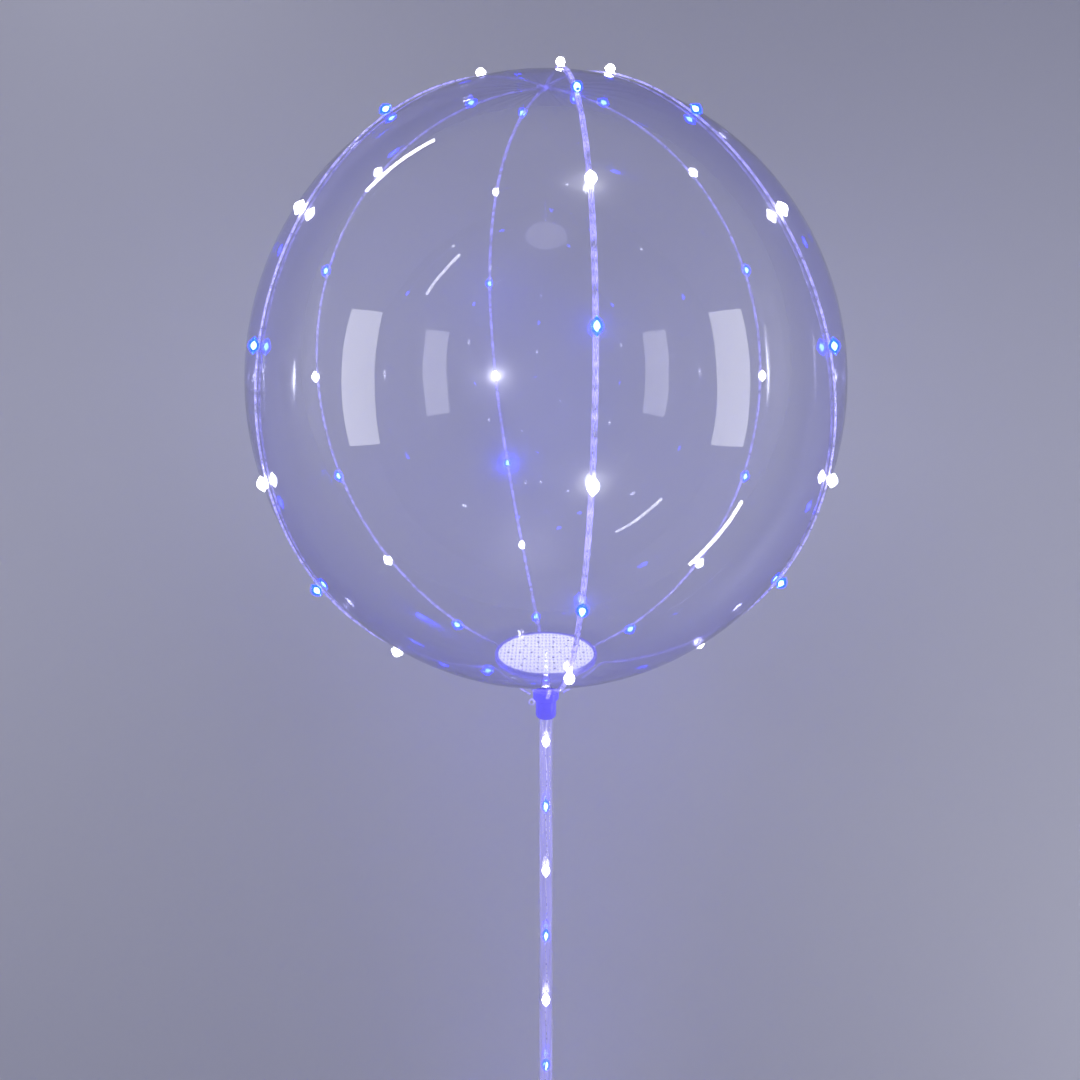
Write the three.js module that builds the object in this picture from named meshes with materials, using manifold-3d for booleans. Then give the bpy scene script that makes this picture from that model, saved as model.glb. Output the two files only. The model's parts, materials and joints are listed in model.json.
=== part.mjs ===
// A clear bubble balloon on a clear tube stick, lying on its back.
// Millimetres. Every piece is drawn on the balloon's own upright axis: +X to the right, +Y to the
// back, +Z to the crown, with the balloon's middle at the origin. The whole is then laid down.
import * as THREE from 'three';
import { mergeVertices } from 'three/addons/utils/BufferGeometryUtils.js';
import Module from 'manifold-3d';

const wasm = await Module();
wasm.setup();

const GAP = 0.3; // clearance between pieces that touch

// ---- driving dimensions ------------------------------------------------------------------------

const balloon = {
  radius: 215, // across the axis
  halfHeight: 221.5, // along the axis
  seatHeight: -214.6, // the underside is pressed flat where it sits on the cup
  restRadius: 30, // small flat on the back, so that it lies still
  around: 44,
  upwards: 20,
};

const cable = {
  width: 3, // flat clear cable, wide side on the skin
  thickness: 1.2,
  standoff: 0.6, // from the skin
  steps: 40,
  crownOverlap: 2, // degrees past the crown, where all six runs cross
};

const drop = {
  width: 6.4, // moulded lamp drop, pointed along its cable
  length: 10.5,
  lift: 0.5, // its lowest point above the skin
};

// The six runs of cable from the crown to the socket. azimuth 0 is the front, 90 the right.
// lean is the sideways drift in degrees for each degree of latitude, bow how many degrees
// lower the middle drops sit than even steps would put them.
const runs = [
  { azimuth: -165.3, lean: 0.106, firstDrop: 76.5, pitch: 24.7, bow: 4.4, drops: 7 },
  { azimuth: 6.2, lean: 0.018, firstDrop: 70, pitch: 19.8, bow: 3.1, drops: 7 },
  { azimuth: -110.8, lean: 0.09, firstDrop: 73.7, pitch: 23.6, bow: 4.1, drops: 7 },
  { azimuth: 115.8, lean: 0, firstDrop: 76.4, pitch: 24.3, bow: 4.6, drops: 7 },
  { azimuth: -52, lean: 0.12, firstDrop: 72.2, pitch: 21.3, bow: 3, drops: 8 },
  { azimuth: 51, lean: -0.28, firstDrop: 68, pitch: 20.9, bow: 0, drops: 7 },
];

const cup = {
  rimRadius: 39.4,
  rimInnerRadius: 37.2,
  rimDepth: 3.2,
  ledgeRadius: 33.6,
  funnelRadius: 23.6, // outside, half way down
  funnelDrop: 15,
  throatRadius: 11.4, // outside, where the funnel meets the socket
  throatDrop: 28,
  wall: 2,
  feedRadius: 3.4, // hole from the funnel into the socket
  around: 36,
};

const socket = {
  ringRadius: 10.05,
  ringLength: 6.2,
  bodyRadius: 7.95,
  bodyLength: 13.9,
  edgeRound: 1.4,
  floorThickness: 3, // between the funnel and the stick's end
};

const disc = {
  thickness: 2.2,
  bevel: 0.5,
  holeRadius: 1.1,
  holeSides: 6,
  rings: [
    { radius: 11, holes: 6 },
    { radius: 20, holes: 10 },
    { radius: 29, holes: 14 },
  ],
};

const stick = {
  radius: 5.15,
  wall: 0.7,
  length: 700,
  around: 20,
};

const stickString = {
  wireRadius: 0.7,
  kink: 0.9, // sideways wander of the wire inside the tube
  firstDrop: 39.8, // below the socket's top
  pitch: 50,
  drops: 13,
  stepsPerPitch: 3,
};

const grip = {
  radius: 12.5,
  length: 100,
  shoulder: 9,
  neckRadius: 8.2,
  edgeRound: 2.2,
  tubeDepth: 42, // how far the stick goes in
  restCut: 2.5, // depth of the small flat at its end
  around: 24,
};

const tail = { ringRadius: 2.1, wireRadius: 0.55, below: 9.3 }; // small clear loop beside the socket

// ---- places worked out from the dimensions -----------------------------------------------------

const rimTop = balloon.seatHeight - GAP;
const ledgeHeight = rimTop - cup.rimDepth;
const discTop = rimTop - GAP;
const throatHeight = rimTop - cup.throatDrop;
const socketTop = throatHeight - 1.2;
const ringBottom = socketTop - socket.ringLength;
const socketBottom = ringBottom - socket.bodyLength;
const boreTop = socketTop - socket.floorThickness;
const boreRadius = stick.radius + GAP;
const stickTop = boreTop - GAP;
const stickBottom = stickTop - stick.length;
const gripTop = stickBottom + grip.tubeDepth;
const gripBottom = gripTop - grip.length;

const restHeight = Math.sqrt(balloon.radius ** 2 - balloon.restRadius ** 2);
const gripReach = Math.hypot(gripBottom, grip.radius);
const recline = Math.asin((restHeight + grip.restCut) / gripReach) - Math.atan2(grip.radius, -gripBottom);

// ---- helpers -----------------------------------------------------------------------------------

function toSolid(geometry) {
  const bare = geometry.clone();
  bare.deleteAttribute('normal');
  bare.deleteAttribute('uv');
  const merged = mergeVertices(bare, 1e-4);
  return new wasm.Manifold(new wasm.Mesh({
    numProp: 3,
    vertProperties: new Float32Array(merged.attributes.position.array),
    triVerts: new Uint32Array(merged.index.array),
  }));
}

function toGeometry(solid) {
  const mesh = solid.getMesh();
  const geometry = new THREE.BufferGeometry();
  geometry.setAttribute('position', new THREE.BufferAttribute(mesh.vertProperties, 3));
  geometry.setIndex(new THREE.BufferAttribute(mesh.triVerts, 1));
  geometry.computeVertexNormals();
  return geometry;
}

function fuse(geometries) {
  const solids = geometries.map(toSolid);
  return toGeometry(solids.reduce((whole, solid) => whole.add(solid)));
}

// A profile of [radius, height] points, turned about the axis; its heights may run either way.
function turned(profile, around) {
  const points = profile.map(([radius, height]) => new THREE.Vector2(radius, height));
  if (THREE.ShapeUtils.isClockWise(points)) points.reverse();
  return new THREE.LatheGeometry(points, around).rotateX(Math.PI / 2);
}

function closed(profile) {
  return [...profile, profile[0]];
}

function material(color, roughness, opacity = 1) {
  return new THREE.MeshStandardMaterial({
    color,
    roughness,
    metalness: 0,
    opacity,
    transparent: opacity < 1,
  });
}

function piece(name, geometry, finish) {
  const mesh = new THREE.Mesh(geometry, finish);
  mesh.name = name;
  return mesh;
}

// Takes away what lies below the surface that the balloon and the grip rest on.
function cutByFloor(geometry) {
  const size = 2000;
  const slab = new THREE.BoxGeometry(size, size, size);
  slab.translate(0, restHeight + size / 2, 0);
  slab.rotateX(-recline);
  return toGeometry(toSolid(geometry).subtract(toSolid(slab)));
}

// ---- balloon -----------------------------------------------------------------------------------

function skinPoint(latitude, proud = 0) {
  const angle = THREE.MathUtils.degToRad(latitude);
  return new THREE.Vector2(
    (balloon.radius + proud) * Math.cos(angle),
    (balloon.halfHeight + proud) * Math.sin(angle),
  );
}

function makeBalloon() {
  const seatLatitude = THREE.MathUtils.radToDeg(Math.asin(balloon.seatHeight / balloon.halfHeight));
  const profile = [[0, balloon.seatHeight]];
  for (let i = 0; i < balloon.upwards; i += 1) {
    const latitude = THREE.MathUtils.lerp(seatLatitude, 90, i / balloon.upwards);
    profile.push(skinPoint(latitude).toArray());
  }
  profile.push([0, balloon.halfHeight]);
  return cutByFloor(turned(profile, balloon.around));
}

// ---- light string on the balloon ---------------------------------------------------------------

// One run of cable: over the skin from the crown, past the cup's rim and in to the socket.
class CableRun extends THREE.Curve {
  constructor(run) {
    super();
    this.run = run;
    const proud = cable.standoff + cable.thickness / 2;
    const line = [];
    for (let latitude = 90 + cable.crownOverlap; latitude > -78; latitude -= 4) {
      line.push(this.place(skinPoint(latitude, proud), latitude));
    }
    const inward = [
      new THREE.Vector2(cup.rimRadius + 4.5, rimTop - 3.4),
      new THREE.Vector2(cup.funnelRadius + 6, rimTop - cup.funnelDrop - 2),
      new THREE.Vector2(cup.throatRadius + 3, throatHeight - 1),
    ];
    inward.forEach((point) => line.push(this.place(point, -76)));
    this.line = new THREE.CatmullRomCurve3(line);
  }

  place(point, latitude) {
    const turn = THREE.MathUtils.degToRad(this.run.azimuth + this.run.lean * latitude);
    return new THREE.Vector3(point.x * Math.sin(turn), -point.x * Math.cos(turn), point.y);
  }

  getPoint(t, target = new THREE.Vector3()) {
    return this.line.getPoint(t, target);
  }

  // The cable lies flat on the skin, so its thickness points away from what it lies on.
  frameAt(point, tangent) {
    const away = new THREE.Vector3(point.x, point.y, Math.max(point.z, 0));
    const outward = away.addScaledVector(tangent, -away.dot(tangent)).normalize();
    return { outward, sideways: new THREE.Vector3().crossVectors(tangent, outward) };
  }

  computeFrenetFrames(segments) {
    const tangents = [];
    const normals = [];
    const binormals = [];
    for (let i = 0; i <= segments; i += 1) {
      const tangent = this.getTangentAt(i / segments);
      const { outward, sideways } = this.frameAt(this.getPointAt(i / segments), tangent);
      tangents.push(tangent);
      normals.push(outward);
      binormals.push(sideways);
    }
    return { tangents, normals, binormals };
  }
}

function rectangle(width, height) {
  const shape = new THREE.Shape();
  shape.moveTo(-width / 2, -height / 2);
  shape.lineTo(width / 2, -height / 2);
  shape.lineTo(width / 2, height / 2);
  shape.lineTo(-width / 2, height / 2);
  shape.closePath();
  return shape;
}

function makeDrop(centre, along, outward) {
  const sideways = new THREE.Vector3().crossVectors(along, outward).normalize();
  const geometry = new THREE.OctahedronGeometry(1, 0);
  geometry.scale(drop.length / 2, drop.width / 2, drop.width / 2);
  geometry.applyMatrix4(new THREE.Matrix4().makeBasis(along, outward, sideways));
  geometry.translate(centre.x, centre.y, centre.z);
  return geometry;
}

function makeBalloonString() {
  const bodies = [];
  for (const run of runs) {
    const path = new CableRun(run);
    bodies.push(new THREE.ExtrudeGeometry(rectangle(cable.thickness, cable.width), {
      steps: cable.steps,
      extrudePath: path,
    }));
    for (let i = 0; i < run.drops; i += 1) {
      const slip = run.bow * Math.sin((Math.PI * i) / (run.drops - 1));
      const latitude = run.firstDrop - run.pitch * i - slip;
      const proud = drop.lift + drop.width / 2;
      const centre = path.place(skinPoint(latitude, proud), latitude);
      const ahead = path.place(skinPoint(latitude - 1, proud), latitude - 1);
      const along = ahead.sub(centre).normalize();
      const outward = path.frameAt(centre, along).outward;
      bodies.push(makeDrop(centre, along, outward));
    }
  }
  return fuse(bodies);
}

// ---- cup, disc and the small loop --------------------------------------------------------------

function makeCup() {
  const midHeight = rimTop - cup.funnelDrop;
  const bodyEdge = socketBottom + socket.edgeRound;
  const outside = [
    [cup.rimRadius, rimTop],
    [cup.rimRadius, ledgeHeight - 0.6],
    [(cup.rimRadius + cup.funnelRadius) / 2 + 1, (ledgeHeight + midHeight) / 2],
    [cup.funnelRadius, midHeight],
    [(cup.funnelRadius + cup.throatRadius) / 2 - 1, (midHeight + throatHeight) / 2],
    [cup.throatRadius, throatHeight],
    [socket.ringRadius, socketTop],
    [socket.ringRadius, ringBottom],
    [socket.bodyRadius, ringBottom],
    [socket.bodyRadius, bodyEdge],
    [socket.bodyRadius - socket.edgeRound / 3, socketBottom + socket.edgeRound / 3],
    [socket.bodyRadius - socket.edgeRound, socketBottom],
  ];
  const inside = [
    [boreRadius, socketBottom],
    [boreRadius, boreTop],
    [cup.feedRadius, boreTop],
    [cup.feedRadius, socketTop],
    [cup.throatRadius - cup.wall, throatHeight + 1.4 * cup.wall],
    [cup.funnelRadius - cup.wall / 2, midHeight + cup.wall],
    [cup.ledgeRadius, ledgeHeight],
    [cup.rimInnerRadius, ledgeHeight],
    [cup.rimInnerRadius, rimTop],
  ];
  return turned(closed([...outside, ...inside]), cup.around);
}

function makeDisc() {
  const radius = cup.rimInnerRadius - GAP;
  const bottom = ledgeHeight + GAP;
  const plate = turned([
    [0, bottom],
    [radius, bottom],
    [radius, discTop - disc.bevel],
    [radius - disc.bevel, discTop],
    [0, discTop],
  ], cup.around);
  const hole = new THREE.CylinderGeometry(disc.holeRadius, disc.holeRadius, 3 * disc.thickness, disc.holeSides);
  hole.rotateX(Math.PI / 2);
  const places = [new THREE.Vector2(0, 0)];
  for (const ring of disc.rings) {
    for (let i = 0; i < ring.holes; i += 1) {
      const turn = (2 * Math.PI * i) / ring.holes;
      places.push(new THREE.Vector2(ring.radius * Math.cos(turn), ring.radius * Math.sin(turn)));
    }
  }
  const holes = places.map(({ x, y }) => toSolid(hole.clone().translate(x, y, (discTop + bottom) / 2)));
  return toGeometry(holes.reduce((whole, solid) => whole.subtract(solid), toSolid(plate)));
}

function makeTail() {
  const loop = new THREE.TorusGeometry(tail.ringRadius, tail.wireRadius, 6, 14);
  const reach = socket.bodyRadius + GAP + tail.ringRadius + tail.wireRadius;
  loop.rotateX(Math.PI / 2);
  loop.translate(-reach, 0, socketTop - tail.below);
  return loop;
}

// ---- stick and the string inside it ------------------------------------------------------------

function makeStick() {
  const inner = stick.radius - stick.wall;
  return turned(closed([
    [stick.radius, stickTop],
    [stick.radius, stickBottom],
    [inner, stickBottom],
    [inner, stickTop],
  ]), stick.around);
}

function makeStickString() {
  const firstDrop = socketTop - stickString.firstDrop;
  const lastDrop = firstDrop - stickString.pitch * (stickString.drops - 1);
  const top = stickTop - 2;
  const bottom = lastDrop - stickString.pitch / 2;
  const route = [];
  const count = stickString.drops * stickString.stepsPerPitch;
  for (let i = 0; i <= count; i += 1) {
    const wander = stickString.kink * Math.sin(2.1 * i);
    const height = THREE.MathUtils.lerp(top, bottom, i / count);
    route.push(new THREE.Vector3(wander, stickString.kink * Math.cos(1.3 * i), height));
  }
  const section = rectangle(2 * stickString.wireRadius, 2 * stickString.wireRadius);
  const extrudePath = new THREE.CatmullRomCurve3(route);
  const bodies = [new THREE.ExtrudeGeometry(section, { steps: count, extrudePath })];
  for (let i = 0; i < stickString.drops; i += 1) {
    const centre = new THREE.Vector3(0, 0, firstDrop - stickString.pitch * i);
    bodies.push(makeDrop(centre, new THREE.Vector3(0, 0, -1), new THREE.Vector3(0, 1, 0)));
  }
  return fuse(bodies);
}

function makeGrip() {
  const tubeEnd = stickBottom - GAP;
  return cutByFloor(turned([
    [0, gripBottom],
    [grip.radius - grip.edgeRound, gripBottom],
    [grip.radius - grip.edgeRound / 3, gripBottom + grip.edgeRound / 3],
    [grip.radius, gripBottom + grip.edgeRound],
    [grip.radius, gripTop - grip.shoulder],
    [(grip.radius + grip.neckRadius) / 2, gripTop - grip.shoulder / 2],
    [grip.neckRadius, gripTop],
    [boreRadius, gripTop],
    [boreRadius, tubeEnd],
    [0, tubeEnd],
  ], grip.around));
}

// ---- the whole, laid on its back ---------------------------------------------------------------

const clearFilm = material('#cfd2ff', 0.05, 0.3);
const clearVinyl = material('#d9dcff', 0.15, 0.6);
const frostedPlastic = material('#8d86f2', 0.4, 0.9);
const whitePlastic = material('#f4f3ff', 0.5);
const clearTube = material('#dfe1ff', 0.08, 0.4);

const upright = new THREE.Group();
upright.add(
  piece('balloon', makeBalloon(), clearFilm),
  piece('balloon_light_string', makeBalloonString(), clearVinyl),
  piece('holder_cup', makeCup(), frostedPlastic),
  piece('perforated_disc', makeDisc(), whitePlastic),
  piece('tail_loop', makeTail(), clearVinyl),
  piece('stick_tube', makeStick(), clearTube),
  piece('stick_light_string', makeStickString(), clearVinyl),
  piece('grip', makeGrip(), frostedPlastic),
);
upright.rotation.x = recline - Math.PI / 2;

// The surface it lies on is at height 0, under the middle of its length.
const whole = new THREE.Group();
whole.add(upright);
const box = new THREE.Box3().setFromObject(whole, true);
upright.position.y = -(box.min.y + box.max.y) / 2;
upright.position.z = -box.min.z;
upright.position.x = -(box.min.x + box.max.x) / 2;

export default whole;
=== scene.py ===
import json
from math import asin, cos, degrees, exp, pi, radians, sin, sqrt

import bmesh
import bpy
from mathutils import Matrix, Vector


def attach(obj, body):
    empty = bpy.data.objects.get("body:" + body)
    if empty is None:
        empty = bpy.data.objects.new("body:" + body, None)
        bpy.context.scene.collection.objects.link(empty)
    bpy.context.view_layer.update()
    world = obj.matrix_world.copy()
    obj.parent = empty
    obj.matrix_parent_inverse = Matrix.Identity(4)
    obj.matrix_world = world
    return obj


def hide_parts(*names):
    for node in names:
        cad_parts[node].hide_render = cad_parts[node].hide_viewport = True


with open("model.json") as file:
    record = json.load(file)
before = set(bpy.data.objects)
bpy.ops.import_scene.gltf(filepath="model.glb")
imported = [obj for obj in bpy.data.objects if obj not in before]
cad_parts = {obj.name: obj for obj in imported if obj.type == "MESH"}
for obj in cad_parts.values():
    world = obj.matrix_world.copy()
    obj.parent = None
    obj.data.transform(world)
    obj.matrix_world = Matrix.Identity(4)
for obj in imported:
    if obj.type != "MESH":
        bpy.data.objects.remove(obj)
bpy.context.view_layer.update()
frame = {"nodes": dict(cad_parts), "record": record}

mm = 0.001
crease = radians(38)   # sharper edges than this stay crisp
tiny = 1e-6

# Each piece is made on the balloon's own upright axis (x right, y to the back, z to the crown,
# the balloon's middle at the origin) and is then laid down in one go.

balloon = {
    "radius": 215 * mm,
    "halfHeight": 221.5 * mm,
    "inset": 0.1 * mm,           # the film lies just inside its solid
    "seatHeight": -214.5 * mm,   # pressed flat on the cup
    "seatEase": 1.2 * mm,
    "seatSink": 0.2 * mm,
    "restRadius": 30 * mm,       # small flat on its back
    "restEase": 0.6 * mm,
    "restReach": 1 * mm,
    "film": 0.3 * mm,
    "around": 176,
    "upwards": 120,
    "pleats": 30,                # fine gathers near the crown and the seat
    "finePleats": 51,
    "finePleatShare": 0.6,
    "pleatDepth": 0.3 * mm,
    "pleatReach": 17,            # degrees from either pole
    "pleatStart": 4,             # degrees from either pole, where they are deepest
}

filmRadius = balloon["radius"] - balloon["inset"]
filmHalfHeight = balloon["halfHeight"] - balloon["inset"]
mounts = {mount["name"]: mount for mount in frame["record"]["mounts"]}
restHeight = sqrt(balloon["radius"] ** 2 - balloon["restRadius"] ** 2)
crownward = -Vector(mounts["grip_end"]["axis"]).normalized()
backward = Vector((0, crownward.z, -crownward.y))
floorward = Vector((0, crownward.y, -crownward.z))   # straight down, seen from the upright axis
balloonMiddle = Vector((0, mounts["rest_spot"]["pos_m"][1], restHeight))


def axesAt(x, y, z, origin):
    return Matrix((
        (x.x, y.x, z.x, origin.x),
        (x.y, y.y, z.y, origin.y),
        (x.z, y.z, z.z, origin.z),
        (0, 0, 0, 1),
    ))


layDown = axesAt(Vector((1, 0, 0)), backward, crownward, balloonMiddle)

camera = {
    "distance": 2.55,     # balloon radii from its axis
    "rise": 0.08,         # balloon radii above its middle
    "lens": 23.6,
    "shiftX": -0.0055,
    "shiftY": -0.174,     # the stick is part of the view
    "nearest": 10 * mm,   # nothing closer than this is drawn
}


def makeCamera():
    data = bpy.data.cameras.new("camera")
    data.lens = camera["lens"]
    data.shift_x = camera["shiftX"]
    data.shift_y = camera["shiftY"]
    data.clip_start = camera["nearest"]
    eye = bpy.data.objects.new("camera", data)
    place = Vector((0, -camera["distance"], camera["rise"])) * filmRadius
    eye.matrix_world = layDown @ Matrix.Translation(place) @ Matrix.Rotation(pi / 2, 4, "X")
    bpy.context.scene.collection.objects.link(eye)
    bpy.context.scene.camera = eye


makeCamera()
print("camera placed")


# from a screen colour to linear light
def hexColour(text):
    channels = [int(text[i:i + 2], 16) / 255 for i in (0, 2, 4)]
    linear = [c / 12.92 if c <= 0.04045 else ((c + 0.055) / 1.055) ** 2.4 for c in channels]
    return (*linear, 1.0)


# inputs can be given by name or by number: 6 and 7 are the two colours of a colour mix
def addNode(tree, kind, inputs=None, **settings):
    node = tree.nodes.new(kind)
    for key, value in settings.items():
        setattr(node, key, value)
    for key, value in (inputs or {}).items():
        if isinstance(value, bpy.types.NodeSocket):
            tree.links.new(value, node.inputs[key])
        else:
            node.inputs[key].default_value = value
    return node


def newMaterial(name):
    material = bpy.data.materials.new(name)
    material.use_nodes = True
    material.node_tree.nodes.clear()
    return material, material.node_tree


def finishMaterial(tree, shader):
    addNode(tree, "ShaderNodeOutputMaterial", {"Surface": shader})


# clear plastic throws next to no shadow
def letLampsThrough(tree, shader, tint):
    path = addNode(tree, "ShaderNodeLightPath")
    clear = addNode(tree, "ShaderNodeBsdfTransparent", {"Color": tint})
    mix = addNode(tree, "ShaderNodeMixShader", {0: path.outputs["Is Shadow Ray"]})
    tree.links.new(shader, mix.inputs[1])
    tree.links.new(clear.outputs[0], mix.inputs[2])
    return mix.outputs[0]


def keepPiece(name, bm, material, replaces=()):
    bmesh.ops.recalc_face_normals(bm, faces=bm.faces)
    bmesh.ops.transform(bm, matrix=layDown, verts=bm.verts)
    for face in bm.faces:
        face.smooth = True
    for edge in bm.edges:
        edge.smooth = edge.calc_face_angle(0) < crease
    mesh = bpy.data.meshes.new(name)
    bm.to_mesh(mesh)
    bm.free()
    mesh.materials.append(material)
    piece = bpy.data.objects.new(name, mesh)
    bpy.context.scene.collection.objects.link(piece)
    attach(piece, "root")
    if replaces:
        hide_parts(*replaces)
    return piece


# spins a closed profile of radius and height round the upright axis
def turned(profile, steps):
    bm = bmesh.new()
    closed = profile + profile[:1]
    verts = [bm.verts.new((radius, 0, height)) for radius, height in closed]
    edges = [bm.edges.new(pair) for pair in zip(verts, verts[1:])]
    bmesh.ops.spin(bm, geom=verts + edges, cent=(0, 0, 0), axis=(0, 0, 1),
                   angle=2 * pi, steps=steps, use_merge=True)
    bmesh.ops.remove_doubles(bm, verts=bm.verts, dist=tiny)
    return bm


def joinInto(bm, part):
    mesh = bpy.data.meshes.new("part")
    part.to_mesh(mesh)
    part.free()
    bm.from_mesh(mesh)
    bpy.data.meshes.remove(mesh)


# the size of each pattern on the real surface
grain = {
    "filmRipple": 111.1 * mm,
    "rippleHeight": 2 * mm,
    "drawLineGlow": 1.111 * mm,
    "drawStretch": (1, 0.02, 0.2),   # the lines are long, and run along the tube
    "cablePaintedGlint": 4.545 * mm,
    "strandWear": 2.5 * mm,
    "resinSwirl": 3.333 * mm,
    "mouldFlow": 16.67 * mm,
}

moulding = {
    "socketBelow": 244 * mm,   # the socket's top, under the balloon's middle
    "fade": 6 * mm,            # from the thick socket to the thin funnel
    "thickClearness": 0.25,
    "thinClearness": 0.88,
    # the thin funnel's painted glow, as a share of the socket's painted glow
    "thinPaintedGlow": 0.9,           # as a share of the socket's glow
}

discGrid = {
    "pitch": 2.9 * mm,   # from dimple to dimple across the disc
    "stretch": 0.5,      # the rows lie twice as far apart
    "dot": 0.22,         # dimple radius, as a share of the pitch
    "softness": 0.06,
    # painted glow: the disc gives off light in its own colours, standing in for the lamps'
    # light through it
    "glow": 1.3,
}


def clearFilm():
    # stretched polyurethane film: almost nothing but its reflections, with a slow ripple in
    # them, and violet where the eye meets it at a slant
    material, tree = newMaterial("stretched clear film")
    place = addNode(tree, "ShaderNodeTexCoord")
    slow = addNode(tree, "ShaderNodeTexNoise", {
        "Vector": place.outputs["Object"], "Scale": 1 / grain["filmRipple"], "Detail": 2.0})
    ripple = addNode(tree, "ShaderNodeBump", {
        "Height": slow.outputs[0], "Strength": 0.25, "Distance": grain["rippleHeight"]})
    slant = addNode(tree, "ShaderNodeLayerWeight", {"Blend": 0.3})
    rim = addNode(tree, "ShaderNodeMapRange", {
        "Value": slant.outputs["Facing"], "From Min": 0.3})
    tint = addNode(tree, "ShaderNodeMix", {
        0: rim.outputs[0], 6: hexColour("FAFAFF"), 7: hexColour("6C66FF")},
        data_type="RGBA")
    film = addNode(tree, "ShaderNodeBsdfPrincipled", {
        "Base Color": tint.outputs[2],
        "Roughness": 0.02,
        "IOR": 1.49,
        "Transmission Weight": 0.95,   # a breath of haze, which the lamps light up
        "Normal": ripple.outputs[0],
    })
    finishMaterial(tree, letLampsThrough(tree, film.outputs[0], hexColour("F4F5FF")))
    return material


def extrudedTube():
    # extruded clear PVC: a painted glow in faint streaks along its draw lines stands in for the
    # lamps' light in its wall
    material, tree = newMaterial("extruded clear tube")
    place = addNode(tree, "ShaderNodeTexCoord")
    lengthways = addNode(tree, "ShaderNodeMapping", {
        "Vector": place.outputs["Object"], "Scale": grain["drawStretch"]})
    drawn = addNode(tree, "ShaderNodeTexNoise", {
        "Vector": lengthways.outputs[0], "Scale": 1 / grain["drawLineGlow"], "Detail": 1.0})
    # painted glow: the streak noise sets how strongly the wall glows
    paintedGlow = addNode(tree, "ShaderNodeMapRange", {
        "Value": drawn.outputs[0], "From Min": 0.3, "From Max": 0.7,
        "To Min": 0.03, "To Max": 0.14})
    body = addNode(tree, "ShaderNodeBsdfPrincipled", {
        "Base Color": hexColour("F6F5FF"),
        "Roughness": 0.03,
        "IOR": 1.4,
        "Transmission Weight": 1.0,
        "Emission Color": hexColour("A49CFF"),
        "Emission Strength": paintedGlow.outputs[0],
    })
    finishMaterial(tree, letLampsThrough(tree, body.outputs[0], hexColour("F6F5FF")))
    return material


def cableJacket():
    # soft clear PVC: a painted glow in uneven glints stands in for the lamps' light it pipes
    # along
    material, tree = newMaterial("clear soft cable jacket")
    place = addNode(tree, "ShaderNodeTexCoord")
    # painted glints: this noise sets where the jacket glows
    glint = addNode(tree, "ShaderNodeTexNoise", {
        "Vector": place.outputs["Object"], "Scale": 1 / grain["cablePaintedGlint"], "Detail": 2.0})
    paintedGlow = addNode(tree, "ShaderNodeMapRange", {
        "Value": glint.outputs[0], "From Min": 0.35, "From Max": 0.75,
        "To Min": 0.05, "To Max": 0.6})
    body = addNode(tree, "ShaderNodeBsdfPrincipled", {
        "Base Color": hexColour("EFEEFF"),
        "Roughness": 0.08,
        "IOR": 1.33,
        "Transmission Weight": 1.0,
        "Emission Color": hexColour("9A92FF"),
        "Emission Strength": paintedGlow.outputs[0],
    })
    finishMaterial(tree, letLampsThrough(tree, body.outputs[0], hexColour("F2F2FF")))
    return material


def tinnedWire():
    # drawn copper with a tin coat: silvery, duller and brighter in turn where it was bent
    material, tree = newMaterial("tinned copper strand")
    place = addNode(tree, "ShaderNodeTexCoord")
    wear = addNode(tree, "ShaderNodeTexNoise", {
        "Vector": place.outputs["Object"], "Scale": 1 / grain["strandWear"], "Detail": 2.0})
    rough = addNode(tree, "ShaderNodeMapRange", {
        "Value": wear.outputs[0], "To Min": 0.18, "To Max": 0.4})
    body = addNode(tree, "ShaderNodeBsdfPrincipled", {
        "Base Color": hexColour("F4F3FF"),
        "Metallic": 0.7,
        "Roughness": rough.outputs[0],
    })
    finishMaterial(tree, body.outputs[0])
    return material


def lampChip(name, glow, strength):
    # the lit chip under its glue drop, bare on a blue lamp and coated with phosphor on a white
    # one, and so bright that nothing of its surface shows
    material, tree = newMaterial(name)
    body = addNode(tree, "ShaderNodeBsdfPrincipled", {
        "Base Color": hexColour("FFFFFF"),
        "Emission Color": hexColour(glow),
        "Emission Strength": strength,
    })
    finishMaterial(tree, body.outputs[0])
    return material


def lampResin(name, colour, glow, strength):
    # the clear glue drop over a lamp chip: it bends the chip's light and glows a little itself
    material, tree = newMaterial(name)
    place = addNode(tree, "ShaderNodeTexCoord")
    swirl = addNode(tree, "ShaderNodeTexNoise", {
        "Vector": place.outputs["Object"], "Scale": 1 / grain["resinSwirl"], "Detail": 1.0})
    glowing = addNode(tree, "ShaderNodeMapRange", {
        "Value": swirl.outputs[0], "To Min": 0.7 * strength, "To Max": 1.3 * strength})
    body = addNode(tree, "ShaderNodeBsdfPrincipled", {
        "Base Color": hexColour(colour),
        "Roughness": 0.1,
        "IOR": 1.5,
        "Transmission Weight": 0.85,
        "Emission Color": hexColour(glow),
        "Emission Strength": glowing.outputs[0],
    })
    finishMaterial(tree, letLampsThrough(tree, body.outputs[0], hexColour(colour)))
    return material


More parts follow.
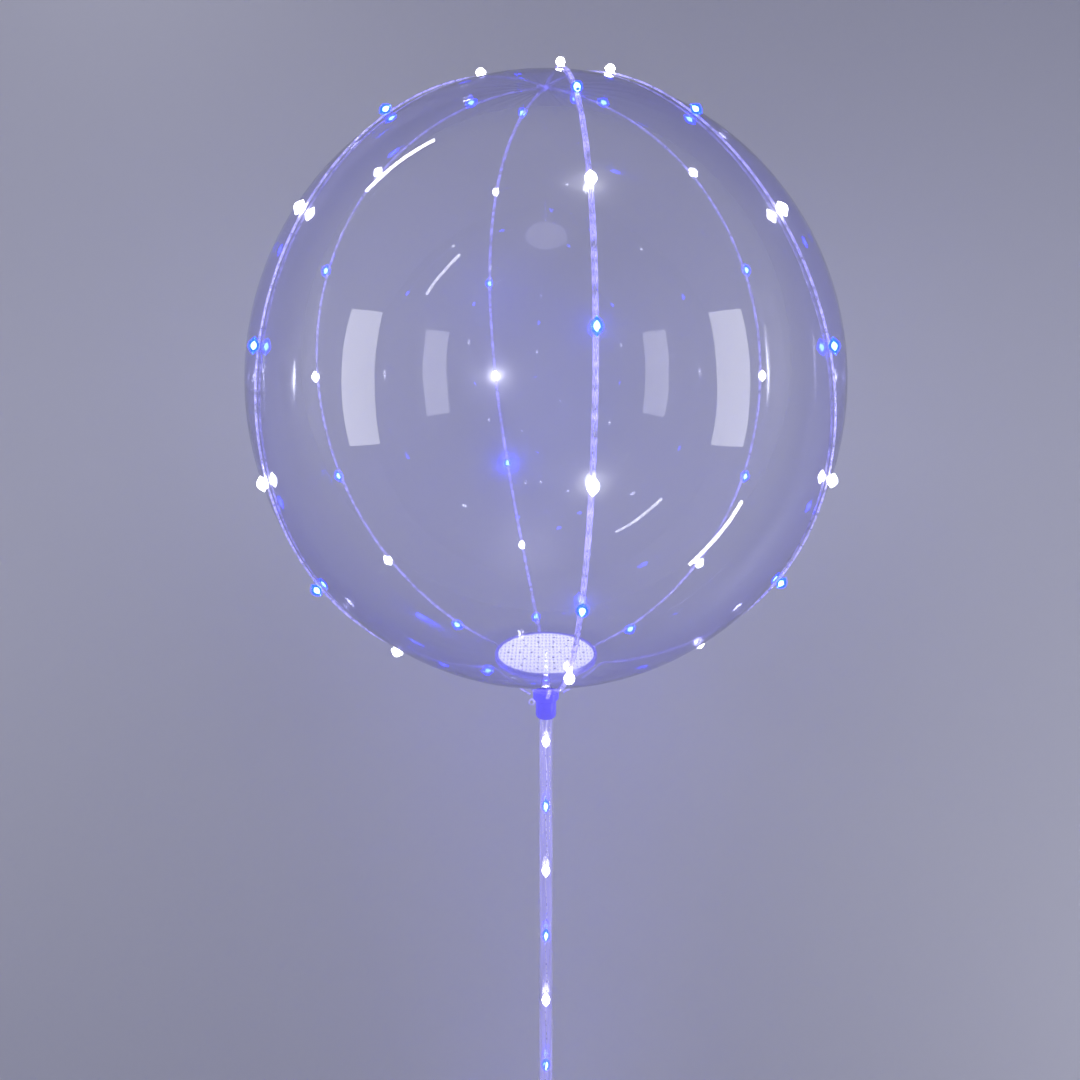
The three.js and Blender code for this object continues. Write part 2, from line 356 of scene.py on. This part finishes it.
def lavenderPlastic(name, glow):
    # moulded translucent ABS: faint flow marks of the mould, thin walls let more light by, and
    # a painted glow stands in for the lamps' light through its walls
    material, tree = newMaterial(name)
    place = addNode(tree, "ShaderNodeTexCoord")
    flow = addNode(tree, "ShaderNodeTexNoise", {
        "Vector": place.outputs["Object"], "Scale": 1 / grain["mouldFlow"], "Detail": 3.0})
    tone = addNode(tree, "ShaderNodeMix", {
        0: flow.outputs[0], 6: hexColour("8E86F7"), 7: hexColour("ABA5FF")}, data_type="RGBA")
    along = addNode(tree, "ShaderNodeVectorMath", {
        0: place.outputs["Object"], 1: crownward}, operation="DOT_PRODUCT")
    socketHeight = balloonMiddle.dot(crownward) - moulding["socketBelow"]
    thin = addNode(tree, "ShaderNodeMapRange", {
        "Value": along.outputs["Value"], "From Min": socketHeight,
        "From Max": socketHeight + moulding["fade"]})
    colour = addNode(tree, "ShaderNodeMix", {
        0: thin.outputs[0], 6: tone.outputs[2], 7: hexColour("DAD8FF")}, data_type="RGBA")
    clearness = addNode(tree, "ShaderNodeMapRange", {
        "Value": thin.outputs[0], "To Min": moulding["thickClearness"],
        "To Max": moulding["thinClearness"]})
    # painted glow for the lamps behind the wall, a little weaker on the thin funnel
    lit = addNode(tree, "ShaderNodeMapRange", {   # lamps behind the wall light it through
        "Value": thin.outputs[0], "To Min": glow, "To Max": moulding["thinPaintedGlow"] * glow})
    body = addNode(tree, "ShaderNodeBsdfPrincipled", {
        "Base Color": colour.outputs[2],
        "Roughness": 0.16,
        "IOR": 1.5,
        "Transmission Weight": clearness.outputs[0],
        "Emission Color": hexColour("6C60F4"),
        "Emission Strength": lit.outputs[0],
    })
    finishMaterial(tree, letLampsThrough(tree, body.outputs[0], hexColour("B8B5FF")))
    return material


def whitePlastic():
    # moulded polystyrene with a fine grid of dimples; a painted glow stands in for the lamps'
    # light shining through it from under it, and the upright walls of its holes carry painted
    # shade
    material, tree = newMaterial("white moulded polystyrene")
    place = addNode(tree, "ShaderNodeTexCoord")
    across = addNode(tree, "ShaderNodeVectorMath", {
        0: place.outputs["Object"], 1: (1, 0, 0)}, operation="DOT_PRODUCT")
    deep = addNode(tree, "ShaderNodeVectorMath", {
        0: place.outputs["Object"], 1: backward}, operation="DOT_PRODUCT")
    wide = addNode(tree, "ShaderNodeCombineXYZ", {
        "X": across.outputs["Value"], "Y": deep.outputs["Value"]})
    flat = addNode(tree, "ShaderNodeMapping", {
        "Vector": wide.outputs[0], "Scale": (1, discGrid["stretch"], 1)})
    dots = addNode(tree, "ShaderNodeTexVoronoi", {
        "Vector": flat.outputs[0], "Scale": 1 / discGrid["pitch"], "Randomness": 0.0},
        voronoi_dimensions="2D")
    dot = addNode(tree, "ShaderNodeMapRange", {
        "Value": dots.outputs["Distance"],
        "From Min": discGrid["dot"] - discGrid["softness"],
        "From Max": discGrid["dot"] + discGrid["softness"]})
    dimpled = addNode(tree, "ShaderNodeMix", {
        0: dot.outputs[0], 6: hexColour("9C94E0"), 7: hexColour("FCFBFF")}, data_type="RGBA")
    facing = addNode(tree, "ShaderNodeVectorMath", {
        0: place.outputs["Normal"], 1: crownward}, operation="DOT_PRODUCT")
    level = addNode(tree, "ShaderNodeMath", {0: facing.outputs["Value"]},
                    operation="ABSOLUTE")
    # painted shade in the holes: this mask is 0 on their upright walls
    paintedHoleShade = addNode(tree, "ShaderNodeMapRange", {   # 0 on their upright walls
        "Value": level.outputs[0], "From Min": 0.5, "From Max": 0.6})
    # the dark navy is painted shade on the hole walls
    tone = addNode(tree, "ShaderNodeMix", {
        0: paintedHoleShade.outputs[0], 6: hexColour("1B1670"), 7: dimpled.outputs[2]},
        data_type="RGBA")
    # the emission is a painted glow in the disc's own colours, painted shade in the holes
    # included
    body = addNode(tree, "ShaderNodeBsdfPrincipled", {
        "Base Color": tone.outputs[2],
        "Roughness": 0.35,
        "Emission Color": tone.outputs[2],
        "Emission Strength": discGrid["glow"],
    })
    finishMaterial(tree, body.outputs[0])
    return material


finishes = {
    "film": clearFilm(),
    "cable": cableJacket(),
    "tube": extrudedTube(),
    "wire": tinnedWire(),
    "whiteLamp": lampResin("glue drop over a white lamp", "FFFFFF", "F4F6FF", strength=2.5),
    "blueLamp": lampResin("glue drop over a blue lamp", "6A80FF", "0416FF", strength=11.0),
    "whiteCore": lampChip("white lamp chip", "FFFFFF", strength=45.0),
    "blueCore": lampChip("blue lamp chip", "A4D4FF", strength=12.0),
    # the glow of the lavender pieces is painted light, not a lamp
    "lavender": lavenderPlastic("translucent lavender plastic", glow=0.26),
    "gripShell": lavenderPlastic("lavender plastic of the grip", glow=0.08),
    "white": whitePlastic(),
}
print("materials mixed")


def makeBalloon():
    bm = bmesh.new()
    bmesh.ops.create_uvsphere(bm, u_segments=balloon["around"], v_segments=balloon["upwards"],
                              radius=1)
    bmesh.ops.scale(bm, vec=(filmRadius, filmRadius, filmHalfHeight), verts=bm.verts)
    for vert in bm.verts:
        gather(vert)
    for vert in bm.verts:
        vert.co.z = seated(vert.co.z)
        below = vert.co.dot(floorward) - restHeight
        if below > -balloon["restReach"]:
            vert.co -= floorward * (below - easedRest(below))
    skin = keepPiece("balloon_skin", bm, finishes["film"], ["balloon"])
    wall = skin.modifiers.new("film", "SOLIDIFY")
    wall.thickness = balloon["film"]
    wall.offset = -1


# shallow pleats that die out away from the poles
def gather(vert):
    reach = sqrt(vert.co.x ** 2 + vert.co.y ** 2)
    colatitude = degrees(asin(min(1, reach / filmRadius)))
    turn = Vector((vert.co.x, vert.co.y)).angle_signed(Vector((1, 0)), 0)
    depth = balloon["pleatDepth"] * exp(-(colatitude / balloon["pleatReach"]) ** 2)
    depth *= min(1, colatitude / balloon["pleatStart"])
    wave = sin(balloon["pleats"] * turn)
    wave += balloon["finePleatShare"] * sin(balloon["finePleats"] * turn + 1)
    vert.co -= vert.co.normalized() * depth * (1 + wave) / 2


def seated(height):
    over = height - balloon["seatHeight"]
    eased = (over + sqrt(over ** 2 + balloon["seatEase"] ** 2)) / 2
    return balloon["seatHeight"] + eased - balloon["seatSink"]


def easedRest(below):
    return (below - sqrt(below ** 2 + balloon["restEase"] ** 2)) / 2


makeBalloon()
print("balloon blown up")

cable = {
    "width": 3 * mm,
    "thickness": 1.2 * mm,
    "standoff": 0.4 * mm,
    "sides": 12,
    "steps": 150,
    "crownOverlap": 2,           # degrees past the crown
    "latitudeStep": 4,
    "lowestLatitude": -78,
    "inwardLatitude": -76,       # sets its direction where it turns in under the cup
    "strandRadius": 0.22 * mm,
    "strandSpread": 0.68 * mm,   # the two strands, across the cable and through it
    "strandDepth": 0.24 * mm,
    "strandLay": 13 * mm,        # one full twist of the two strands
    "strandSides": 6,
    "strandSteps": 420,
    "curveSteps": 24,
}

drop = {
    "width": 6.4 * mm,
    "length": 10.5 * mm,
    "lift": 0.5 * mm,            # from the skin
    "taper": 1.15,
    "sides": 12,
    "chipWidth": {"white": 2.8 * mm, "blue": 2.1 * mm},
    "chipLength": {"white": 5.6 * mm, "blue": 4.6 * mm},
}

# azimuth 0 is the front and 90 the right, lean is sideways drift per degree of latitude,
# and bow is how many degrees lower the middle drops sit than even steps would put them
runs = [
    {"azimuth": -165.3, "lean": 0.106, "firstDrop": 76.5, "pitch": 24.7, "bow": 4.4,
     "drops": 7, "first": "blue"},
    {"azimuth": 6.2, "lean": 0.018, "firstDrop": 70, "pitch": 19.8, "bow": 3.1,
     "drops": 7, "first": "white"},
    {"azimuth": -110.8, "lean": 0.09, "firstDrop": 73.7, "pitch": 23.6, "bow": 4.1,
     "drops": 7, "first": "blue"},
    {"azimuth": 115.8, "lean": 0, "firstDrop": 76.4, "pitch": 24.3, "bow": 4.6,
     "drops": 7, "first": "blue"},
    {"azimuth": -52, "lean": 0.12, "firstDrop": 72.2, "pitch": 21.3, "bow": 3,
     "drops": 8, "first": "white"},
    {"azimuth": 51, "lean": -0.28, "firstDrop": 68, "pitch": 20.9, "bow": 0,
     "drops": 7, "first": "white"},
]

cup = {
    "rimTop": -214.9 * mm,
    "rimRadius": 39.4 * mm,
    "rimInnerRadius": 37.2 * mm,
    "rimDepth": 3.2 * mm,
    "rimSkirt": 0.6 * mm,
    "rimRound": 0.5 * mm,
    "rimInnerRound": 0.3 * mm,
    "ledgeRadius": 33.6 * mm,
    "funnelRadius": 23.6 * mm,
    "funnelDrop": 15 * mm,
    "funnelCurve": 1 * mm,
    "throatRadius": 11.4 * mm,
    "throatDrop": 28 * mm,
    "throatRise": 2.8 * mm,
    "collar": 1.2 * mm,
    "wall": 2 * mm,
    "feedRadius": 3.4 * mm,
    "around": 96,
}

# where each run passes the rim, the funnel and the throat: clear of the wall, and below
cableInward = {
    "rimClear": 4.5 * mm,
    "rimBelow": 3.4 * mm,
    "funnelClear": 6 * mm,
    "funnelBelow": 2 * mm,
    "throatClear": 3 * mm,
    "throatBelow": 1 * mm,
}


def skinPoint(latitude, proud):
    angle = radians(latitude)
    return ((balloon["radius"] + proud) * cos(angle),
            (balloon["halfHeight"] + proud) * sin(angle))


def placeOnRun(run, point, latitude):
    turn = radians(run["azimuth"] + run["lean"] * latitude)
    return Vector((point[0] * sin(turn), -point[0] * cos(turn), point[1]))


def runPoints(run):
    proud = cable["standoff"] + cable["thickness"] / 2
    line = []
    latitude = 90 + cable["crownOverlap"]
    while latitude > cable["lowestLatitude"]:
        line.append(placeOnRun(run, skinPoint(latitude, proud), latitude))
        latitude -= cable["latitudeStep"]
    rimTop = cup["rimTop"]
    inward = [
        (cup["rimRadius"] + cableInward["rimClear"], rimTop - cableInward["rimBelow"]),
        (cup["funnelRadius"] + cableInward["funnelClear"],
         rimTop - cup["funnelDrop"] - cableInward["funnelBelow"]),
        (cup["throatRadius"] + cableInward["throatClear"],
         rimTop - cup["throatDrop"] - cableInward["throatBelow"]),
    ]
    line += [placeOnRun(run, point, cable["inwardLatitude"]) for point in inward]
    return line


# a smooth line through the points
def smoothLine(points):
    fine = []
    for i in range(len(points) - 1):
        before = points[max(i - 1, 0)]
        here = points[i]
        ahead = points[i + 1]
        after = points[min(i + 2, len(points) - 1)]
        for k in range(cable["curveSteps"]):
            t = k / cable["curveSteps"]
            fine.append(0.5 * (
                2 * here + (ahead - before) * t
                + (2 * before - 5 * here + 4 * ahead - after) * t * t
                + (3 * here - before - 3 * ahead + after) * t ** 3))
    fine.append(points[-1])
    return fine


# even steps along that line
def spacedAlong(points, count):
    fine = smoothLine(points)
    lengths = [0.0]
    for a, b in zip(fine, fine[1:]):
        lengths.append(lengths[-1] + (b - a).length)
    spaced = []
    j = 0
    for i in range(count + 1):
        want = lengths[-1] * i / count
        while j < len(fine) - 2 and lengths[j + 1] < want:
            j += 1
        share = (want - lengths[j]) / max(lengths[j + 1] - lengths[j], tiny)
        spaced.append(fine[j].lerp(fine[j + 1], min(max(share, 0), 1)))
    return spaced


# axes sideways, away from the balloon, and along the line
def frameAt(point, tangent):
    away = Vector((point.x, point.y, max(point.z, 0)))
    outward = (away - tangent * away.dot(tangent)).normalized()
    return axesAt(tangent.cross(outward), outward, tangent, point)


def framesAlong(points):
    frames = []
    for i, point in enumerate(points):
        tangent = points[min(i + 1, len(points) - 1)] - points[max(i - 1, 0)]
        frames.append(frameAt(point, tangent.normalized()))
    return frames


# a closed bar of oval section through the frames
def sweep(whole, frames, sides, halfWidth, halfThickness):
    bm = bmesh.new()
    size = Matrix.Diagonal((halfWidth, halfThickness, 1, 1))
    ring = bmesh.ops.create_circle(bm, cap_ends=True, segments=sides, radius=1,
                                   matrix=frames[0] @ size)["verts"]
    edges = list({edge for vert in ring for edge in vert.link_edges})
    for before, after in zip(frames, frames[1:]):
        grown = bmesh.ops.extrude_edge_only(bm, edges=edges)["geom"]
        ring = [item for item in grown if isinstance(item, bmesh.types.BMVert)]
        edges = [item for item in grown if isinstance(item, bmesh.types.BMEdge)
                 and all(vert in ring for vert in item.verts)]
        bmesh.ops.transform(bm, matrix=after @ before.inverted(), verts=ring)
    bmesh.ops.contextual_create(bm, geom=edges)
    joinInto(whole, bm)


# round and full in the middle, drawn out to a point at both ends
def makeSpindle(bm, place, width, length):
    made = bmesh.ops.create_uvsphere(bm, u_segments=drop["sides"], v_segments=drop["sides"],
                                     radius=1)["verts"]
    for vert in made:
        reach = sqrt(vert.co.x ** 2 + vert.co.y ** 2)
        if reach > tiny:
            spindle = cos(pi / 2 * vert.co.z) ** drop["taper"] / reach
            vert.co.x *= spindle
            vert.co.y *= spindle
    size = Matrix.Diagonal((width / 2, width / 2, length / 2, 1))
    bmesh.ops.transform(bm, matrix=place @ size, verts=made)


lampParts = ("white_drops", "white_chips", "blue_drops", "blue_chips")


def newLamps():
    return {part: bmesh.new() for part in lampParts}


def makeLamp(lamps, colour, place):
    makeSpindle(lamps[colour + "_drops"], place, drop["width"], drop["length"])
    makeSpindle(lamps[colour + "_chips"], place, drop["chipWidth"][colour],
                drop["chipLength"][colour])


def keepLamps(prefix, lamps):
    for part, bm in lamps.items():
        colour = part.split("_")[0]
        finish = finishes[colour + ("Lamp" if part.endswith("drops") else "Core")]
        keepPiece(prefix + part, bm, finish)


def dropPlaces(run):
    proud = drop["lift"] + drop["width"] / 2
    for i in range(run["drops"]):
        slip = run["bow"] * sin(pi * i / (run["drops"] - 1))
        latitude = run["firstDrop"] - run["pitch"] * i - slip
        centre = placeOnRun(run, skinPoint(latitude, proud), latitude)
        ahead = placeOnRun(run, skinPoint(latitude - 1, proud), latitude - 1)
        blue = (i % 2 == 0) == (run["first"] == "blue")
        yield ("blue" if blue else "white"), frameAt(centre, (ahead - centre).normalized())


def makeStrands(strands, points):
    fine = spacedAlong(points, cable["strandSteps"])
    total = sum((b - a).length for a, b in zip(fine, fine[1:]))
    for side in (0, pi):
        line = []
        for i, matrix in enumerate(framesAlong(fine)):
            twist = side + 2 * pi * total * i / cable["strandSteps"] / cable["strandLay"]
            line.append(matrix @ Vector((cos(twist) * cable["strandSpread"],
                                         sin(twist) * cable["strandDepth"], 0)))
        sweep(strands, framesAlong(line), cable["strandSides"],
              cable["strandRadius"], cable["strandRadius"])


def makeBalloonString():
    jacket = bmesh.new()
    strands = bmesh.new()
    lamps = newLamps()
    for run in runs:
        points = runPoints(run)
        frames = framesAlong(spacedAlong(points, cable["steps"]))
        sweep(jacket, frames, cable["sides"], cable["width"] / 2, cable["thickness"] / 2)
        makeStrands(strands, points)
        for colour, place in dropPlaces(run):
            makeLamp(lamps, colour, place)
    keepPiece("balloon_cable", jacket, finishes["cable"],
              ["balloon_light_string"])
    keepPiece("balloon_strands", strands, finishes["wire"])
    keepLamps("", lamps)


makeBalloonString()
print("light string wound on")

socket = {
    "top": cup["rimTop"] - cup["throatDrop"] - cup["collar"],
    "ringRadius": 10.05 * mm,
    "ringLength": 6.2 * mm,
    "ringRound": 0.4 * mm,
    "bodyRadius": 7.95 * mm,
    "bodyLength": 13.9 * mm,
    "edgeRound": 1.4 * mm,
    "boreRadius": 5.45 * mm,
    "floorThickness": 3 * mm,
}


def makeCup():
    rimTop = cup["rimTop"]
    ledge = rimTop - cup["rimDepth"]
    mid = rimTop - cup["funnelDrop"]
    throat = rimTop - cup["throatDrop"]
    boreTop = socket["top"] - socket["floorThickness"]
    ringBottom = socket["top"] - socket["ringLength"]
    bottom = ringBottom - socket["bodyLength"]
    edge = socket["edgeRound"]
    curve = cup["funnelCurve"]
    profile = [
        (cup["rimRadius"] - cup["rimRound"], rimTop),
        (cup["rimRadius"], rimTop - cup["rimRound"]),
        (cup["rimRadius"], ledge - cup["rimSkirt"]),
        ((cup["rimRadius"] + cup["funnelRadius"]) / 2 + curve, (ledge + mid) / 2),
        (cup["funnelRadius"], mid),
        ((cup["funnelRadius"] + cup["throatRadius"]) / 2 - curve, (mid + throat) / 2),
        (cup["throatRadius"], throat),
        (socket["ringRadius"], socket["top"]),
        (socket["ringRadius"], ringBottom + socket["ringRound"]),
        (socket["ringRadius"] - socket["ringRound"], ringBottom),
        (socket["bodyRadius"], ringBottom),
        (socket["bodyRadius"], bottom + edge),
        (socket["bodyRadius"] - edge / 3, bottom + edge / 3),
        (socket["bodyRadius"] - edge, bottom),
        (socket["boreRadius"], bottom),
        (socket["boreRadius"], boreTop),
        (cup["feedRadius"], boreTop),
        (cup["feedRadius"], socket["top"]),
        (cup["throatRadius"] - cup["wall"], throat + cup["throatRise"]),
        (cup["funnelRadius"] - cup["wall"] / 2, mid + cup["wall"]),
        (cup["ledgeRadius"], ledge),
        (cup["rimInnerRadius"], ledge),
        (cup["rimInnerRadius"], rimTop - cup["rimInnerRound"]),
        (cup["rimInnerRadius"] + cup["rimInnerRound"], rimTop),
    ]
    bm = turned(profile, cup["around"])
    keepPiece("cup", bm, finishes["lavender"], ["holder_cup"])


makeCup()
print("cup turned")

stick = {
    "radius": 5.15 * mm,
    "wall": 0.7 * mm,
    "top": -247.4 * mm,
    "length": 700 * mm,
    "around": 48,
}

stickString = {
    "wireRadius": 0.45 * mm,
    "wireSides": 6,
    "wireStart": 2 * mm,         # below the tube's top
    "kink": 0.9 * mm,
    "kinkTurns": (2.1, 1.3),     # radians for each kink, sideways and to the back
    "stepsPerKink": 6,
    "firstDrop": 39.8 * mm,      # below the socket's top
    "pitch": 50 * mm,
    "drops": 13,
    "kinksPerPitch": 3,
}


def makeStick():
    inner = stick["radius"] - stick["wall"]
    bottom = stick["top"] - stick["length"]
    profile = [
        (stick["radius"], stick["top"]),
        (stick["radius"], bottom),
        (inner, bottom),
        (inner, stick["top"]),
    ]
    bm = turned(profile, stick["around"])
    keepPiece("stick", bm, finishes["tube"], ["stick_tube"])


def makeStickString():
    first = socket["top"] - stickString["firstDrop"]
    last = first - stickString["pitch"] * (stickString["drops"] - 1)
    top = stick["top"] - stickString["wireStart"]
    bottom = last - stickString["pitch"] / 2
    count = stickString["drops"] * stickString["kinksPerPitch"]
    sideways, deep = stickString["kinkTurns"]
    route = []
    for i in range(count + 1):
        wander = Vector((sin(sideways * i), cos(deep * i), 0)) * stickString["kink"]
        route.append(wander + Vector((0, 0, top + (bottom - top) * i / count)))
    even = spacedAlong(route, stickString["stepsPerKink"] * count)
    frames = [Matrix.Translation(point) for point in even]
    wire = bmesh.new()
    sweep(wire, frames, stickString["wireSides"],
          stickString["wireRadius"], stickString["wireRadius"])
    keepPiece("stick_wire", wire, finishes["wire"], ["stick_light_string"])
    lamps = newLamps()
    for i in range(stickString["drops"]):
        height = first - stickString["pitch"] * i
        makeLamp(lamps, "blue" if i % 2 else "white", Matrix.Translation((0, 0, height)))
    keepLamps("stick_", lamps)


makeStick()
makeStickString()
print("stick filled")

# these keep their CAD shape
carriedOver = {"perforated_disc": "white", "grip": "gripShell", "tail_loop": "cable"}
for name, finish in carriedOver.items():
    node = frame["nodes"][name]
    node.data.materials.clear()
    node.data.materials.append(finishes[finish])

studio = {
    "floor": "DCDCE6",
    "floorRoughness": 0.7,
    "floorSize": 6,
    "softboxAngle": 60,       # degrees from the view, left and right
    "softboxDistance": 1.15,
    "softboxSize": (0.26, 0.72),
    "softboxPower": 1.8,
    "stripDistance": 1.1,
    "stripSize": (0.03, 0.38),
    "stripPower": 0.6,
    "strips": [(-0.42, -0.7, 0.58), (0.46, -0.79, -0.41)],   # where each glints on the film
    "ambient": "D3D5F4",
    "ambientStrength": 0.32,
}


def makeFloor():
    bm = bmesh.new()
    bmesh.ops.create_grid(bm, x_segments=1, y_segments=1, size=studio["floorSize"])
    mesh = bpy.data.meshes.new("floor")
    bm.to_mesh(mesh)
    bm.free()
    material, tree = newMaterial("pale floor")
    body = addNode(tree, "ShaderNodeBsdfPrincipled", {
        "Base Color": hexColour(studio["floor"]), "Roughness": studio["floorRoughness"]})
    finishMaterial(tree, body.outputs[0])
    mesh.materials.append(material)
    floor = bpy.data.objects.new("floor", mesh)
    bpy.context.scene.collection.objects.link(floor)


def addSoftbox(size, power, matrix):
    data = bpy.data.lights.new("softbox", "AREA")
    data.shape = "RECTANGLE"
    data.size, data.size_y = size
    data.energy = power
    light = bpy.data.objects.new("softbox", data)
    light.matrix_world = layDown @ matrix
    bpy.context.scene.collection.objects.link(light)


def addSideSoftbox(side):
    turn = Matrix.Rotation(radians(side * studio["softboxAngle"]), 4, "Z")
    away = Matrix.Translation((0, -studio["softboxDistance"], 0))
    addSoftbox(studio["softboxSize"], studio["softboxPower"],
               turn @ away @ Matrix.Rotation(pi / 2, 4, "X"))


# a strip stands where the film at the glint mirrors it to the camera
def addStrip(glint):
    normal = Vector(glint).normalized()
    viewer = Vector((0, -1, 0))
    away = 2 * normal.dot(viewer) * normal - viewer
    across = viewer.cross(normal).cross(away).normalized()
    along = away.cross(across)
    addSoftbox(studio["stripSize"], studio["stripPower"],
               axesAt(across, along, away, away * studio["stripDistance"]))


def makeLights():
    for side in (-1, 1):
        addSideSoftbox(side)
    for glint in studio["strips"]:
        addStrip(glint)
    world = bpy.data.worlds.new("studio")
    world.use_nodes = True
    background = world.node_tree.nodes["Background"]
    background.inputs["Color"].default_value = hexColour(studio["ambient"])
    background.inputs["Strength"].default_value = studio["ambientStrength"]
    bpy.context.scene.world = world


makeFloor()
makeLights()
bpy.context.scene.view_settings.view_transform = "Standard"   # lit lamps clip to white
print("studio lit")
